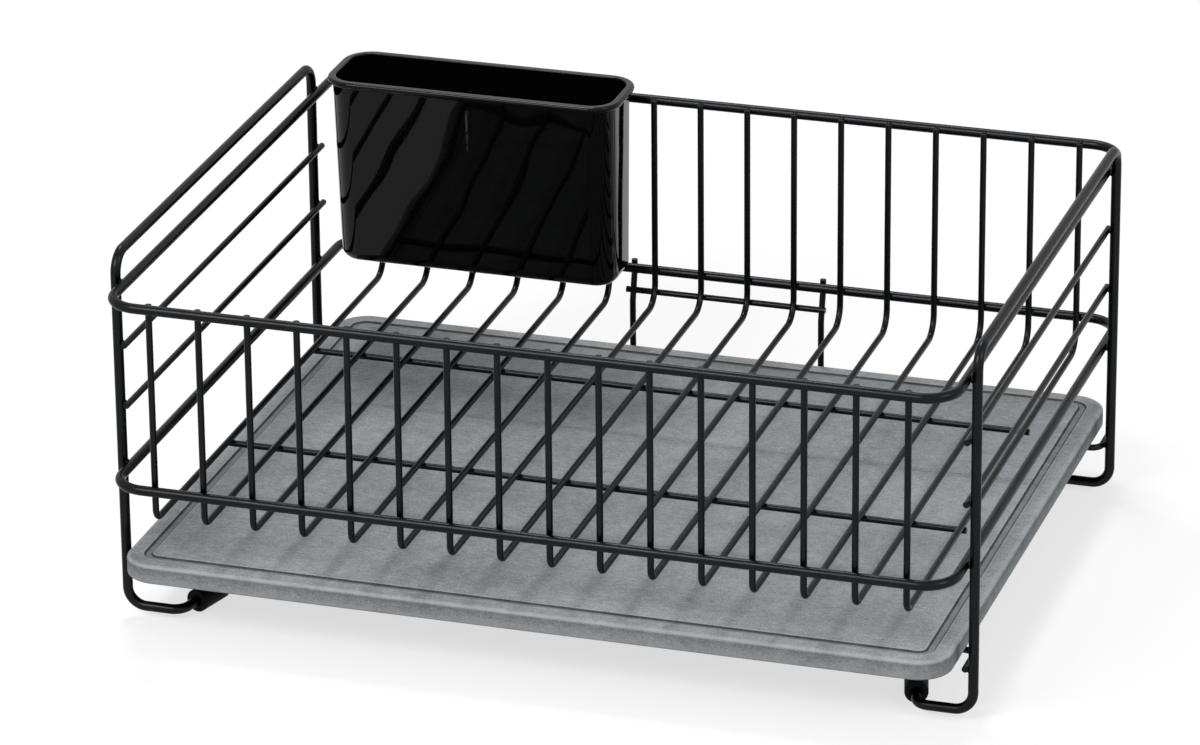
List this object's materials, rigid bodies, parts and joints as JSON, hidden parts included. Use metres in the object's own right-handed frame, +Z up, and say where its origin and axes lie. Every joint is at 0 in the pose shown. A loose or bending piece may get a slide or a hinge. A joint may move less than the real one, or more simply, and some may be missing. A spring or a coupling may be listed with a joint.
{
  "type": "dish drainer basket",
  "caption": "Welded wire dish drainer with a slide-out stone drip board below and a hanging cutlery pocket on the rear rim.",
  "frame": {"origin": "on the surface that the feet stand on, under the middle of the basket's rim", "axes": "+X along the long side to the right, +Y from the front, where the board slides out, to the back, +Z up"},
  "size_m": [0.464, 0.3748, 0.2063],
  "materials": {
    "wire_coating": "satin",
    "foot_cap": "matte",
    "board_stone": "matte",
    "pocket_plastic": "gloss"
  },
  "bodies": {
    "rack": {"rim_ring": "wire_coating", "lower_ring": "wire_coating", "basket_wire_01": "wire_coating", "basket_wire_02": "wire_coating", "basket_wire_03": "wire_coating", "basket_wire_04": "wire_coating", "basket_wire_05": "wire_coating", "basket_wire_06": "wire_coating", "basket_wire_07": "wire_coating", "basket_wire_08": "wire_coating", "basket_wire_09": "wire_coating", "basket_wire_10": "wire_coating", "basket_wire_11": "wire_coating", "basket_wire_12": "wire_coating", "basket_wire_13": "wire_coating", "basket_wire_14": "wire_coating", "basket_wire_15": "wire_coating", "basket_wire_16": "wire_coating", "front_floor_wire": "wire_coating", "rear_floor_wire": "wire_coating", "left_end_frame": "wire_coating", "right_end_frame": "wire_coating", "left_upper_side_wire": "wire_coating", "left_lower_side_wire": "wire_coating", "right_upper_side_wire": "wire_coating", "right_lower_side_wire": "wire_coating", "front_board_support": "wire_coating", "rear_board_support": "wire_coating", "left_stop_upright": "wire_coating", "right_stop_upright": "wire_coating", "stop_crossbar": "wire_coating", "front_left_foot_cap": "foot_cap", "front_right_foot_cap": "foot_cap", "rear_left_foot_cap": "foot_cap", "rear_right_foot_cap": "foot_cap"},
    "board": {"drain_board": "board_stone"},
    "pocket": {"cutlery_pocket": "pocket_plastic"}
  },
  "joints": [
    {"name": "board_slide", "type": "slide", "parent": "rack", "child": "board", "axis": [0, -1, 0], "range_m": [0, 0.34]},
    {"name": "pocket_lift", "type": "slide", "parent": "rack", "child": "pocket", "axis": [0, 0, 1], "range_m": [0, 0.12]}
  ]
}
